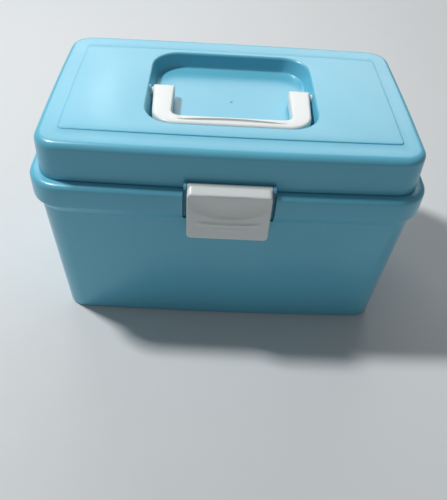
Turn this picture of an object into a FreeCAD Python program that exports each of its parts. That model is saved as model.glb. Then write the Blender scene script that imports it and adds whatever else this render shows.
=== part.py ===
import FreeCAD, Part
import math
import os
import re
import Sketcher

# Sewing box: a tapered tub with a rolled collar, a hinged lid with a sunk carry handle, a front latch
# and two lift-out trays with loose dividers.  Millimetres.  The origin is the middle of the base;
# +X runs to the right, +Y to the hinges and +Z up, so the latch faces -Y.

SIZES = {
    # lid outline at the parting line, corner to corner, and how far its sides bow out
    "lid_length": 250.0,
    "lid_depth": 151.7,
    "lid_corner": 17.0,
    "side_bow": 2.1,
    "end_bow": 1.0,
    # tub
    "floor_thick": 2.5,
    "base_inset": 4.0,
    "base_round": 1.2,
    "base_wall": 2.3,
    "crease_height": 106.0,
    "crease_stand": 2.2,
    "collar_slope": 6.5,
    "collar_height": 17.0,
    "collar_stand": 6.5,
    "collar_round": 3.5,
    "rim_inset": 2.2,
    # lid
    "lid_gap": 0.4,
    "lid_rise": 27.0,
    "lid_draft": 0.8,
    "lid_wall": 2.2,
    "lid_round": 6.5,
    "panel_end_margin": 14.5,
    "panel_side_margin": 18.35,
    "panel_shift": -0.6,
    "panel_corner": 3.0,
    "panel_bow": 1.4,
    "panel_rise": 0.6,
    "locating_drop": 4.0,
    "locating_gap": 0.5,
    "locating_width": 20.0,
    "locating_place": 70.0,
    # handle well and handle
    "well_end_gap": 2.9,
    "well_front_gap": 1.5,
    "well_back_gap": 3.3,
    "well_floor_gap": 1.2,
    "well_corner": 20.5,
    "well_end_slope": 3.0,
    "well_side_slope": 1.2,
    "well_edge_round": 1.0,
    "gate_radius": 1.2,
    "gate_rise": 0.3,
    "handle_pivot_place": 2.3,
    "handle_thick": 9.4,
    "handle_top_gap": 0.8,
    "handle_width": 111.0,
    "handle_taper": 2.6,
    "arm_width": 15.0,
    "grip_reach": 46.9,
    "grip_width": 10.4,
    "grip_inner_round": 6.0,
    "grip_outer_round": 17.0,
    "stub_radius": 3.0,
    "stub_length": 8.0,
    "stub_clearance": 0.08,
    "socket_wall": 1.7,
    "socket_end_gap": 0.6,
    # hinges
    "hinge_place": 75.0,
    "hinge_back": 4.0,
    "hinge_up": 3.5,
    "knuckle_radius": 4.0,
    "knuckle_length": 12.0,
    "knuckle_gap": 0.3,
    "hinge_pin_radius": 1.5,
    "hinge_pin_head": 2.6,
    "hinge_pin_head_thick": 1.0,
    "pin_clearance": 0.05,
    # latch
    "latch_width": 54.6,
    "latch_side_gap": 2.9,
    "latch_back_gap": 0.35,
    "latch_pivot_out": 2.55,
    "latch_pivot_up": 3.4,
    "latch_barrel": 2.2,
    "latch_pin_radius": 1.0,
    "latch_reach": 7.7,
    "latch_top_fall": 3.0,
    "latch_overhang": 10.8,
    "latch_wall": 2.2,
    "latch_corner": 3.0,
    "latch_ear_thick": 2.0,
    "latch_ear_gap": 0.3,
    "catch_width": 28.0,
    "cheek_rise": 4.0,
    "catch_slope": 0.12,
    "catch_gap": 0.25,
    "keeper_lift": 1.0,
    "keeper_tall": 7.0,
    "keeper_stand": 3.3,
    "hook_lap": 3.0,
    "hook_tall": 8.0,
    # tray supports moulded inside the tub
    "rib_thick": 3.0,
    "side_rib_place": 55.0,
    "end_rib_place": 32.0,
    "rib_sink": 1.0,
    "upper_rest_drop": 9.5,
    "stack_gap": 2.0,
    "rest_width": 5.0,
    "tray_gap": 1.2,
    # trays and their dividers
    "tray_wall": 1.8,
    "tray_floor": 1.8,
    "tray_corner": 8.0,
    "flange_thick": 2.0,
    "tray_side_gap": 1.0,
    "upper_tray_depth": 28.0,
    "lower_tray_depth": 32.0,
    "partition_thick": 2.4,
    "partition_drop": 3.0,
    "tab_rise": 6.0,
    "tab_width": 30.0,
    "tab_thick": 2.2,
    "tab_chamfer": 2.0,
    "groove_depth": 0.5,
    "divider_thick": 1.4,
    "divider_clearance": 0.2,
    "divider_scoop": 5.0,
    "upper_divider_pitch": 57.0,
    "lower_divider_pitch": 74.0,
}

# places worked out from the sizes
COLLAR_LOW = "(crease_height + collar_slope)"
COLLAR_TOP = f"({COLLAR_LOW} + collar_height)"
LID_LOW = f"({COLLAR_TOP} + lid_gap)"
LID_TOP = f"({LID_LOW} + lid_rise)"
PANEL_TOP = f"({LID_TOP} + panel_rise)"
WELL_FLOOR = f"({PANEL_TOP} - handle_top_gap - handle_thick - well_floor_gap)"
WELL_SHIFT = "(handle_pivot_place + (well_back_gap - well_front_gap) / 2)"
SIDE_APEX = "(lid_depth / 2 + side_bow)"
END_APEX = "(lid_length / 2 + end_bow)"
HINGE_Y = f"({SIDE_APEX} + collar_stand + hinge_back)"
HINGE_Z = f"({COLLAR_TOP} + hinge_up)"
HANDLE_Z = f"({PANEL_TOP} - handle_top_gap - handle_thick / 2)"
LATCH_Y = f"(-{SIDE_APEX} - latch_pivot_out)"
LATCH_Z = f"({LID_LOW} + latch_pivot_up)"
NOTCH_Y = f"(-{SIDE_APEX} - latch_back_gap)"
EAR_MIDDLE = "(latch_width / 2 + latch_ear_gap + latch_ear_thick / 2)"
HINGE_HOLE = "(hinge_pin_radius + pin_clearance)"
LATCH_HOLE = "(latch_pin_radius + pin_clearance)"
KEEPER_FOOT = "(crease_height + keeper_lift)"
KEEPER_TOP = f"({KEEPER_FOOT} + keeper_tall)"
HOOK_TOP = f"({KEEPER_TOP} - hook_lap)"
HOOK_BOTTOM = f"({HOOK_TOP} - hook_tall)"
UPPER_REST = f"({COLLAR_TOP} - upper_rest_drop)"
LOWER_REST = f"({UPPER_REST} - upper_tray_depth - tab_rise - stack_gap)"
UPPER_REST_INSET = "(rim_inset + tray_gap + rest_width)"
UPPER_WALL_INSET = f"({UPPER_REST_INSET} + tray_side_gap)"
LOWER_REST_INSET = f"({UPPER_WALL_INSET} + rest_width)"
LOWER_WALL_INSET = f"({LOWER_REST_INSET} + tray_side_gap)"
SOCKET_END = "(handle_width / 2 + stub_length + socket_end_gap)"

# plan frames: half length, half depth, corner radius and the bow of the long sides and the ends
LID_FRAME = ("lid_length / 2", "lid_depth / 2", "lid_corner", "side_bow", "end_bow")
PANEL_FRAME = (
    "lid_length / 2 - panel_end_margin",
    "lid_depth / 2 - panel_side_margin",
    "panel_corner",
    "panel_bow",
    "end_bow / 2",
)
WELL_LENGTH = "(handle_width / 2 + well_end_gap)"
WELL_DEPTH = "(grip_reach + (well_front_gap + well_back_gap) / 2)"
WELL_FRAME = (WELL_LENGTH, WELL_DEPTH, "well_corner", "panel_bow / 4", "end_bow / 4")
WELL_FLOOR_FRAME = (
    f"{WELL_LENGTH} - well_end_slope",
    f"{WELL_DEPTH} - well_side_slope",
    "well_corner - well_side_slope",
    "panel_bow / 4",
    "end_bow / 4",
)

doc = FreeCAD.newDocument("sewing_box")
sheet = doc.addObject("Spreadsheet::Sheet", "sizes")
for row, (alias, value) in enumerate(SIZES.items(), start=1):
    sheet.set(f"A{row}", alias)
    sheet.set(f"B{row}", str(value))
    sheet.setAlias(f"B{row}", alias)
doc.recompute()


def bound(text):
    """An expression with each size name pointed at its cell."""
    return re.sub(r"[a-z][a-z_]+", lambda word: f"sizes.{word[0]}" if word[0] in SIZES else word[0], text)


def number(text):
    """The value of an expression, as a plain number."""
    return float(sheet.evalExpression(bound(text)))


def bind(target, prop, text):
    """Drives a property with an expression."""
    target.setExpression(prop, bound(text))


def new_body(name):
    """An empty body whose label is its node name."""
    body = doc.addObject("PartDesign::Body", name)
    body.Label = name
    return body


def new_sketch(body, name, role="XY_Plane", lift="0", shift="0"):
    """A sketch on one of the body's origin planes, lifted along the plane's normal."""
    sketch = body.newObject("Sketcher::SketchObject", name)
    plane = next(item for item in body.Origin.OriginFeatures if item.Role == role)
    sketch.AttachmentSupport = [(plane, "")]
    sketch.MapMode = "FlatFace"
    bind(sketch, "AttachmentOffset.Base.z", lift)
    bind(sketch, "AttachmentOffset.Base.y", shift)
    return sketch


def place_point(sketch, geometry, point, across, up):
    """Ties a sketch point to two expressions, or to an axis where one of them is zero."""
    for kind, axis, text in (("DistanceX", -2, across), ("DistanceY", -1, up)):
        if abs(number(text)) < 1e-9:
            sketch.addConstraint(Sketcher.Constraint("PointOnObject", geometry, point, axis))
            continue
        index = sketch.addConstraint(Sketcher.Constraint(kind, -1, 1, geometry, point, number(text)))
        bind(sketch, f"Constraints[{index}]", text)


def polygon(sketch, corners):
    """A closed outline of straight lines through corners given as pairs of expressions."""
    first = sketch.GeometryCount
    spots = [FreeCAD.Vector(number(across), number(up), 0) for across, up in corners]
    for index, spot in enumerate(spots):
        sketch.addGeometry(Part.LineSegment(spot, spots[(index + 1) % len(spots)]))
    for index, (across, up) in enumerate(corners):
        following = first + (index + 1) % len(corners)
        sketch.addConstraint(Sketcher.Constraint("Coincident", first + index, 2, following, 1))
        place_point(sketch, first + index, 1, across, up)


def rectangle(sketch, low_across, low_up, high_across, high_up):
    """A closed rectangle between two opposite corners."""
    corners = [(low_across, low_up), (high_across, low_up), (high_across, high_up), (low_across, high_up)]
    polygon(sketch, corners)


def circle(sketch, across, up, radius):
    """A circle placed and sized by expressions."""
    centre = FreeCAD.Vector(number(across), number(up), 0)
    normal = FreeCAD.Vector(0, 0, 1)
    geometry = sketch.addGeometry(Part.Circle(centre, normal, number(radius)))
    place_point(sketch, geometry, 3, across, up)
    index = sketch.addConstraint(Sketcher.Constraint("Radius", geometry, number(radius)))
    bind(sketch, f"Constraints[{index}]", radius)


def corner_centre(frame):
    """Centre of the corner arc that touches the bowed side and the bowed end of a plan frame."""
    half_x, half_y, corner, side_bow, end_bow = [number(text) for text in frame]
    side_radius = (half_x**2 + side_bow**2) / (2 * side_bow)
    end_radius = (half_y**2 + end_bow**2) / (2 * end_bow)
    side_centre = half_y + side_bow - side_radius
    end_centre = half_x + end_bow - end_radius
    x, y = half_x - corner, half_y - corner
    for _ in range(20):
        x = end_centre + math.sqrt((end_radius - corner) ** 2 - y**2)
        y = side_centre + math.sqrt((side_radius - corner) ** 2 - x**2)
    return x, y, side_centre, end_centre


def bowed_outline(sketch, frame, grow="0"):
    """A rounded rectangle with gently bowed sides, grown all round: four long arcs and four corners."""
    half_x, half_y, corner, side_bow, end_bow = frame
    side_text = f"((({half_x})^2 + ({side_bow})^2) / (2 * ({side_bow})))"
    end_text = f"((({half_y})^2 + ({end_bow})^2) / (2 * ({end_bow})))"
    x, y, side_centre, end_centre = corner_centre(frame)
    end_angle = math.atan2(y, x - end_centre)
    side_angle = math.atan2(y - side_centre, x)
    end_place = f"(({half_x}) + ({end_bow}) - {end_text})"
    side_place = f"(({half_y}) + ({side_bow}) - {side_text})"
    corner_radius = f"(({corner}) + ({grow}))"
    end_radius = f"({end_text} + ({grow}))"
    side_radius = f"({side_text} + ({grow}))"
    turn = math.pi
    arcs = [
        ((end_centre, 0), end_radius, -end_angle, end_angle),
        ((x, y), corner_radius, end_angle, side_angle),
        ((0, side_centre), side_radius, side_angle, turn - side_angle),
        ((-x, y), corner_radius, turn - side_angle, turn - end_angle),
        ((-end_centre, 0), end_radius, turn - end_angle, turn + end_angle),
        ((-x, -y), corner_radius, turn + end_angle, turn + side_angle),
        ((0, -side_centre), side_radius, turn + side_angle, 2 * turn - side_angle),
        ((x, -y), corner_radius, 2 * turn - side_angle, 2 * turn - end_angle),
    ]
    first = sketch.GeometryCount
    normal = FreeCAD.Vector(0, 0, 1)
    for centre, radius, start, stop in arcs:
        ring = Part.Circle(FreeCAD.Vector(*centre, 0), normal, number(radius))
        sketch.addGeometry(Part.ArcOfCircle(ring, start, stop))
    for index, (_, radius, _, _) in enumerate(arcs):
        following = first + (index + 1) % len(arcs)
        sketch.addConstraint(Sketcher.Constraint("Tangent", first + index, 2, following, 1))
        constraint = sketch.addConstraint(Sketcher.Constraint("Radius", first + index, number(radius)))
        bind(sketch, f"Constraints[{constraint}]", radius)
    place_point(sketch, first, 3, end_place, "0")
    place_point(sketch, first + 2, 3, "0", side_place)
    place_point(sketch, first + 4, 3, f"-{end_place}", "0")
    place_point(sketch, first + 6, 3, "0", f"-{side_place}")


def plan(body, name, frame, grow, lift, shift="0"):
    """A level bowed outline at a height."""
    sketch = new_sketch(body, name, "XY_Plane", lift, shift)
    bowed_outline(sketch, frame, grow)
    return sketch


def loft(body, name, sections, cuts=False):
    """Straight walls through level outlines, added or cut away."""
    kind = "PartDesign::SubtractiveLoft" if cuts else "PartDesign::AdditiveLoft"
    feature = body.newObject(kind, name)
    feature.Profile = sections[0]
    feature.Sections = sections[1:]
    feature.Ruled = True
    return feature


def pad(body, name, sketch, length, midplane=False):
    """A sketch pushed out along its normal, or evenly both ways."""
    feature = body.newObject("PartDesign::Pad", name)
    feature.Profile = sketch
    feature.Midplane = midplane
    bind(feature, "Length", length)
    return feature


def pocket(body, name, sketch, length, midplane=False):
    """A cut made against the sketch's normal, or evenly both ways."""
    doc.recompute()
    before = body.Shape.Volume
    feature = body.newObject("PartDesign::Pocket", name)
    feature.Profile = sketch
    feature.Midplane = midplane
    bind(feature, "Length", length)
    doc.recompute()
    if not body.Shape.Volume < before:
        raise RuntimeError(f"{name} cuts nothing")
    return feature


def fillet(body, name, radius, chosen):
    """Rounds the edges of the newest feature that a test picks out."""
    doc.recompute()
    base = body.Tip
    edges = [f"Edge{index}" for index, edge in enumerate(base.Shape.Edges, start=1) if chosen(edge)]
    feature = body.newObject("PartDesign::Fillet", name)
    feature.Base = (base, edges)
    bind(feature, "Radius", radius)
    return feature


def level(height):
    """A test for level edges at a height."""
    wanted = number(height)

    def test(edge):
        box = edge.BoundBox
        return abs(box.ZMin - wanted) < 1e-4 and abs(box.ZMax - wanted) < 1e-4

    return test


def upright(x, y):
    """A test for vertical edges at a place, on either side of the middle."""

    def test(edge):
        box = edge.BoundBox
        middle = box.Center
        narrow = box.XLength < 1e-4 and box.YLength < 1e-4
        return narrow and abs(abs(middle.x) - x) < 0.05 and abs(middle.y - y) < 0.05

    return test


def hinge_leaf(body, name, middle, length):
    """A hinge knuckle with its middle at a place along X."""
    sketch = new_sketch(body, f"{name}_ring", "YZ_Plane", middle)
    circle(sketch, HINGE_Y, HINGE_Z, "knuckle_radius")
    pad(body, f"{name}_knuckle", sketch, length, midplane=True)


def bore(body, name, across, up, radius, length, middle="0"):
    """A round hole along X, evenly both ways from a place."""
    sketch = new_sketch(body, f"{name}_circle", "YZ_Plane", middle)
    circle(sketch, across, up, radius)
    pocket(body, name, sketch, length, midplane=True)


def make_body_shell():
    """The tub: tapered walls, the collar, tray ribs, latch notch and keeper, and hinge knuckles."""
    body = new_body("body_shell")
    collar = plan(body, "collar_plan", LID_FRAME, "collar_stand", COLLAR_LOW)
    pad(body, "collar", collar, "collar_height")
    fillet(body, "collar_rounding", "collar_round", level(COLLAR_TOP))
    loft(body, "outside", [
        plan(body, "base", LID_FRAME, "-base_inset - base_round", "0"),
        plan(body, "base_shoulder", LID_FRAME, "-base_inset", "base_round"),
        plan(body, "crease", LID_FRAME, "crease_stand", "crease_height"),
        plan(body, "collar_low", LID_FRAME, "collar_stand", COLLAR_LOW),
    ])
    inside = [
        plan(body, "floor", LID_FRAME, "-base_inset - base_wall", "floor_thick"),
        plan(body, "inner_crease", LID_FRAME, "-rim_inset", "crease_height"),
        plan(body, "mouth", LID_FRAME, "-rim_inset", f"{COLLAR_TOP} + 1"),
    ]
    loft(body, "cavity", inside, cuts=True)
    for side, sign in (("front", "-"), ("back", "")):
        profile = rib_profile(f"{sign}1", SIDE_APEX)
        for end, place in (("left", "-side_rib_place"), ("right", "side_rib_place")):
            sketch = new_sketch(body, f"{side}_{end}_rib_side", "YZ_Plane", place)
            polygon(sketch, profile)
            pad(body, f"{side}_{end}_rib", sketch, "rib_thick", midplane=True)
    for end, sign in (("left", "-"), ("right", "")):
        profile = rib_profile(f"{sign}1", END_APEX)
        for side, place in (("front", "end_rib_place"), ("back", "-end_rib_place")):
            sketch = new_sketch(body, f"{end}_{side}_end_rib_side", "XZ_Plane", place)
            polygon(sketch, profile)
            pad(body, f"{end}_{side}_end_rib", sketch, "rib_thick", midplane=True)
    notch = new_sketch(body, "notch_plan", "XY_Plane", f"{COLLAR_TOP} + 1")
    half_notch = "(latch_width / 2 + latch_side_gap)"
    rectangle(notch, f"-{half_notch}", f"{NOTCH_Y} - 2 * collar_stand", half_notch, NOTCH_Y)
    pocket(body, "latch_notch", notch, "collar_height + collar_slope + 1")
    keeper = new_sketch(body, "keeper_side", "YZ_Plane")
    apex = f"({NOTCH_Y} - keeper_stand)"
    foot_y = f"({apex} + catch_slope * keeper_tall)"
    root_y = f"({NOTCH_Y} + 1)"
    polygon(keeper, [
        (root_y, KEEPER_FOOT),
        (root_y, f"{KEEPER_TOP} + keeper_stand + 2"),
        (apex, KEEPER_TOP),
        (foot_y, KEEPER_FOOT),
    ])
    pad(body, "keeper", keeper, "catch_width", midplane=True)
    outer_middle = "(knuckle_length + knuckle_gap)"
    for end, place in (("left", "-hinge_place"), ("right", "hinge_place")):
        for edge, offset in (("inner", f"-{outer_middle}"), ("outer", outer_middle)):
            middle = f"({place} + {offset})"
            web = new_sketch(body, f"{end}_{edge}_web_side", "YZ_Plane", middle)
            polygon(web, [
                (f"{HINGE_Y} - hinge_back - 2 * collar_round", f"{COLLAR_TOP} - 3 * collar_round"),
                (f"{HINGE_Y} - hinge_back + 0.5", f"{COLLAR_TOP} - 3 * collar_round"),
                (f"{HINGE_Y} + 0.9 * knuckle_radius", f"{HINGE_Z} - 0.4 * knuckle_radius"),
                (f"{HINGE_Y} - 0.9 * knuckle_radius", f"{HINGE_Z} + 0.2 * knuckle_radius"),
                (f"{HINGE_Y} - hinge_back - 2 * collar_round", f"{COLLAR_TOP} - collar_round"),
            ])
            pad(body, f"{end}_{edge}_web", web, "knuckle_length", midplane=True)
            hinge_leaf(body, f"{end}_{edge}", middle, "knuckle_length")
    bore(body, "hinge_bore", HINGE_Y, HINGE_Z, HINGE_HOLE, "lid_length")
    return body


def rib_profile(side, apex):
    """Side view of a stepped rib that carries both trays, its back sunk into the tapered wall."""
    return [
        (f"{side} * ({apex} - base_inset - base_wall + rib_sink)", "floor_thick - rib_sink"),
        (f"{side} * ({apex} - rim_inset + rib_sink)", "crease_height"),
        (f"{side} * ({apex} - rim_inset + rib_sink)", UPPER_REST),
        (f"{side} * ({apex} - {UPPER_REST_INSET})", UPPER_REST),
        (f"{side} * ({apex} - {UPPER_REST_INSET})", LOWER_REST),
        (f"{side} * ({apex} - {LOWER_REST_INSET})", LOWER_REST),
        (f"{side} * ({apex} - {LOWER_REST_INSET})", "floor_thick - rib_sink"),
    ]


def make_lid_shell():
    """The lid: drafted skirt, raised panel, handle well with pin sockets, hinge arms and latch ears."""
    body = new_body("lid_shell")
    shoulder = f"({LID_TOP} - lid_round - lid_wall / 2)"
    crown = plan(body, "crown_plan", LID_FRAME, "-lid_draft", shoulder)
    pad(body, "crown", crown, "lid_round + lid_wall / 2")
    fillet(body, "top_rounding", "lid_round", level(LID_TOP))
    loft(body, "skirt", [
        plan(body, "skirt_edge", LID_FRAME, "0", LID_LOW),
        plan(body, "skirt_top", LID_FRAME, "-lid_draft", shoulder),
    ])
    underside = f"({LID_TOP} - lid_wall)"
    inner_round = "(lid_round - lid_wall)"
    loft(body, "inside", [
        plan(body, "inner_edge", LID_FRAME, "-lid_wall", LID_LOW),
        plan(body, "inner_shoulder", LID_FRAME, "-lid_wall - lid_draft", f"{underside} - {inner_round}"),
        plan(body, "inner_top", LID_FRAME, f"-lid_wall - lid_draft - 0.7 * {inner_round}", underside),
    ], cuts=True)
    panel = plan(body, "panel_plan", PANEL_FRAME, "0", f"{LID_TOP} - lid_wall / 2", "panel_shift")
    pad(body, "panel", panel, "panel_rise + lid_wall / 2")
    loft(body, "well_tub", [
        plan(body, "tub_top", WELL_FRAME, "lid_wall", f"{LID_TOP} - lid_wall / 2", WELL_SHIFT),
        plan(body, "tub_floor", WELL_FLOOR_FRAME, "lid_wall", f"{WELL_FLOOR} - lid_wall", WELL_SHIFT),
    ])
    for end, place in (("left", f"-{SOCKET_END} - socket_wall"), ("right", "handle_width / 2")):
        sketch = new_sketch(body, f"{end}_socket_ring", "YZ_Plane", place)
        circle(sketch, "handle_pivot_place", HANDLE_Z, "stub_radius + socket_wall")
        pad(body, f"{end}_socket_boss", sketch, f"{SOCKET_END} + socket_wall - handle_width / 2")
    loft(body, "well", [
        plan(body, "well_rim", WELL_FRAME, "well_edge_round", PANEL_TOP, WELL_SHIFT),
        plan(body, "well_mouth", WELL_FRAME, "0", f"{PANEL_TOP} - well_edge_round", WELL_SHIFT),
        plan(body, "well_floor", WELL_FLOOR_FRAME, "0", WELL_FLOOR, WELL_SHIFT),
    ], cuts=True)
    socket_middle = f"({SOCKET_END} / 2 + handle_width / 4)"
    socket_radius = "stub_radius + stub_clearance"
    for end, sign in (("left", "-"), ("right", "")):
        place, length = f"{sign}{socket_middle}", f"{SOCKET_END} - handle_width / 2"
        bore(body, f"{end}_socket", "handle_pivot_place", HANDLE_Z, socket_radius, length, place)
    gate = new_sketch(body, "gate_circle", "XY_Plane", f"{WELL_FLOOR} - gate_rise")
    circle(gate, "0", WELL_SHIFT, "gate_radius")
    pad(body, "gate_mark", gate, "2 * gate_rise")
    for end, place in (("left", "-locating_place"), ("right", "locating_place")):
        tab = new_sketch(body, f"{end}_locating_side", "YZ_Plane", place)
        polygon(tab, locating_profile("-1", SIDE_APEX, "locating_gap + side_bow / 2"))
        pad(body, f"{end}_locating_tab", tab, "locating_width", midplane=True)
    for end, sign in (("left", "-1"), ("right", "1")):
        tab = new_sketch(body, f"{end}_end_locating_side", "XZ_Plane", "locating_width")
        polygon(tab, locating_profile(sign, END_APEX, "locating_gap + end_bow / 2"))
        pad(body, f"{end}_end_locating_tab", tab, "locating_width", midplane=True)
    for end, place in (("left", "-hinge_place"), ("right", "hinge_place")):
        arm = new_sketch(body, f"{end}_arm_side", "YZ_Plane", place)
        rectangle(
            arm,
            f"{SIDE_APEX} - side_bow / 2 - lid_wall / 2",
            f"{LID_LOW} + lid_wall / 2",
            HINGE_Y,
            f"{HINGE_Z} + 0.9 * knuckle_radius",
        )
        pad(body, f"{end}_arm", arm, "knuckle_length", midplane=True)
        hinge_leaf(body, f"{end}_lid", place, "knuckle_length")
    bore(body, "hinge_bore", HINGE_Y, HINGE_Z, HINGE_HOLE, "lid_length")
    for end, place in (("left", f"-{EAR_MIDDLE}"), ("right", EAR_MIDDLE)):
        ear = new_sketch(body, f"{end}_ear_side", "YZ_Plane", place)
        rectangle(
            ear,
            LATCH_Y,
            f"{LATCH_Z} - 0.7 * latch_barrel",
            f"{LATCH_Y} + latch_pivot_out + lid_wall / 2",
            f"{LATCH_Z} + 0.7 * latch_barrel",
        )
        pad(body, f"{end}_ear", ear, "latch_ear_thick", midplane=True)
        ring = new_sketch(body, f"{end}_ear_ring", "YZ_Plane", place)
        circle(ring, LATCH_Y, LATCH_Z, "latch_barrel")
        pad(body, f"{end}_ear_eye", ring, "latch_ear_thick", midplane=True)
    bore(body, "latch_bore", LATCH_Y, LATCH_Z, LATCH_HOLE, "latch_width + 4 * latch_ear_thick")
    return body


def locating_profile(side, apex, clear):
    """Side view of a tab that hangs inside the tub's mouth and keeps the lid in line."""
    outer = f"({apex} - rim_inset - ({clear}))"
    return [
        (f"{side} * ({apex} - lid_wall / 2 - side_bow / 2)", f"{LID_LOW} + lid_wall / 2"),
        (f"{side} * ({apex} - lid_wall / 2 - side_bow / 2)", f"{LID_LOW} + locating_drop"),
        (f"{side} * ({outer} - lid_wall)", f"{LID_LOW} + locating_drop / 2"),
        (f"{side} * ({outer} - lid_wall)", f"{LID_LOW} - locating_drop"),
        (f"{side} * {outer}", f"{LID_LOW} - locating_drop"),
        (f"{side} * {outer}", f"{LID_LOW} + lid_wall / 2"),
    ]


def make_hinge_pin(name, sign):
    """A headed steel pin through one hinge, its head at the outer end."""
    body = new_body(name)
    length = "(3 * knuckle_length + 2 * knuckle_gap)"
    shaft = new_sketch(body, f"{name}_shaft_circle", "YZ_Plane", f"-{length} / 2")
    circle(shaft, "0", "0", "hinge_pin_radius")
    pad(body, f"{name}_shaft", shaft, f"{length} + hinge_pin_head_thick / 2")
    head = new_sketch(body, f"{name}_head_circle", "YZ_Plane", f"{length} / 2 + pin_clearance")
    circle(head, "0", "0", "hinge_pin_head")
    pad(body, f"{name}_head", head, "hinge_pin_head_thick")
    bind(body, "Placement.Base.x", f"{sign} * hinge_place")
    bind(body, "Placement.Base.y", HINGE_Y)
    bind(body, "Placement.Base.z", HINGE_Z)
    if sign == "-1":
        body.Placement.Rotation = FreeCAD.Rotation(FreeCAD.Vector(0, 0, 1), 180)
    return body


def make_carry_handle():
    """The bail handle, folded forward in its well: two arms, a grip and a stub pin at each end."""
    body = new_body("carry_handle")
    low = f"{HANDLE_Z} - handle_thick / 2"
    outer, tip = "handle_width / 2", "(handle_width / 2 - handle_taper)"
    inner = "(handle_width / 2 - arm_width)"
    front = "(handle_pivot_place - grip_reach)"
    shape = new_sketch(body, "bail_plan", "XY_Plane", low)
    polygon(shape, [
        (f"-{outer}", "handle_pivot_place"),
        (f"-{tip}", front),
        (tip, front),
        (outer, "handle_pivot_place"),
        (inner, "handle_pivot_place"),
        (inner, f"{front} + grip_width"),
        (f"-{inner}", f"{front} + grip_width"),
        (f"-{inner}", "handle_pivot_place"),
    ])
    pad(body, "bail", shape, "handle_thick")
    fillet(body, "outer_corners", "grip_outer_round", upright(number(tip), number(front)))
    fillet(body, "inner_corners", "grip_inner_round", upright(number(inner), number(f"{front} + grip_width")))
    for end, start in (("left", f"-{outer}"), ("right", inner)):
        barrel = new_sketch(body, f"{end}_barrel_circle", "YZ_Plane", start)
        circle(barrel, "handle_pivot_place", HANDLE_Z, "handle_thick / 2")
        pad(body, f"{end}_barrel", barrel, "arm_width")
    for end, start in (("left", f"-{outer} - stub_length"), ("right", f"{outer} - 1")):
        stub = new_sketch(body, f"{end}_stub_circle", "YZ_Plane", start)
        circle(stub, "handle_pivot_place", HANDLE_Z, "stub_radius")
        pad(body, f"{end}_stub", stub, "stub_length + 1")
    return body


def make_latch_flap():
    """The latch: a hooded flap that turns on the lid's ears and hooks under the keeper."""
    body = new_body("latch_flap")
    front = f"({LATCH_Y} - latch_reach)"
    low = "(crease_height - latch_overhang)"
    roof = f"({LATCH_Z} - latch_barrel)"
    cheek_y = f"({NOTCH_Y} - latch_back_gap - 0.6)"
    block = new_sketch(body, "flap_side", "YZ_Plane")
    polygon(block, [
        (LATCH_Y, f"{LATCH_Z} + latch_barrel"),
        (front, f"{LATCH_Z} + latch_barrel - latch_top_fall"),
        (front, low),
        (f"{front} + latch_wall", low),
        (cheek_y, "crease_height + cheek_rise"),
        (cheek_y, roof),
        (LATCH_Y, roof),
    ])
    pad(body, "flap", block, "latch_width", midplane=True)
    corners = upright_front(number("latch_width / 2"), number(low))
    fillet(body, "lower_corners", "latch_corner", corners)
    barrel = new_sketch(body, "barrel_circle", "YZ_Plane")
    circle(barrel, LATCH_Y, LATCH_Z, "latch_barrel")
    pad(body, "barrel", barrel, "latch_width", midplane=True)
    hollow = new_sketch(body, "hollow_side", "YZ_Plane")
    rectangle(hollow, f"{front} + latch_wall", f"{low} - 1", f"{LATCH_Y} + 2 * latch_barrel", roof)
    pocket(body, "hollow", hollow, "latch_width - 2 * latch_wall", midplane=True)
    hook = new_sketch(body, "hook_side", "YZ_Plane")
    face = f"({NOTCH_Y} - keeper_stand - catch_gap)"
    polygon(hook, [
        (f"{front} + latch_wall / 2", f"{HOOK_TOP} + 1"),
        (f"{face} + catch_slope * hook_lap", HOOK_TOP),
        (f"{face} + catch_slope * (hook_lap + hook_tall)", HOOK_BOTTOM),
        (f"{front} + latch_wall / 2", f"{HOOK_BOTTOM} - 2"),
    ])
    pad(body, "hook", hook, "catch_width", midplane=True)
    bore(body, "pin_bore", LATCH_Y, LATCH_Z, LATCH_HOLE, "latch_width + 1")
    return body


def upright_front(half_width, low):
    """A test for the short fore-and-aft edges at the flap's lower corners."""

    def test(edge):
        box = edge.BoundBox
        straight = box.XLength < 1e-4 and box.ZLength < 1e-4
        return straight and abs(abs(box.Center.x) - half_width) < 0.05 and abs(box.Center.z - low) < 0.05

    return test


def make_latch_pin():
    """The straight steel pin that carries the latch between the lid's ears."""
    body = new_body("latch_pin")
    length = "(latch_width + 2 * latch_ear_gap + 2 * latch_ear_thick)"
    shaft = new_sketch(body, "latch_pin_circle", "YZ_Plane")
    circle(shaft, "0", "0", "latch_pin_radius")
    pad(body, "latch_pin_shaft", shaft, length, midplane=True)
    bind(body, "Placement.Base.y", LATCH_Y)
    bind(body, "Placement.Base.z", LATCH_Z)
    return body


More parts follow.
